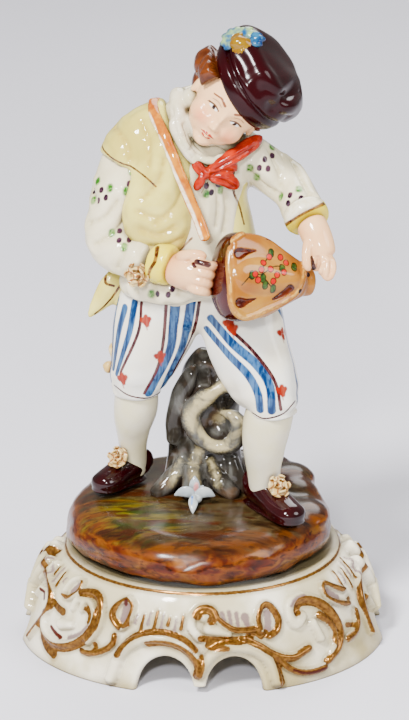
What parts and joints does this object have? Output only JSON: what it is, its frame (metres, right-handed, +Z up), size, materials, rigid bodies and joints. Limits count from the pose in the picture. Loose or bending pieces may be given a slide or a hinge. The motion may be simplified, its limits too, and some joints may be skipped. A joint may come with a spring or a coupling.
{
  "type": "porcelain statuette of a boy playing a lute-backed hurdy-gurdy",
  "caption": "Glazed porcelain statuette of a boy in a soft cap, legs apart before a tree stump, turning the crank of a lute-backed hurdy-gurdy, on a pierced scroll plinth",
  "frame": {"origin": "middle of the plinth's underside", "axes": "+Z up, the boy faces -Y, his own right hand is on the -X side"},
  "size_m": [0.1192, 0.11, 0.2065],
  "materials": {
    "painted_porcelain": "white porcelain painted in many colours under a clear glossy glaze",
    "gilt_porcelain": "cream white glossy glaze with worn gilding on the scrolls"
  },
  "bodies": {
    "root": {"plinth": "gilt_porcelain", "figure": "painted_porcelain"}
  },
  "joints": []
}
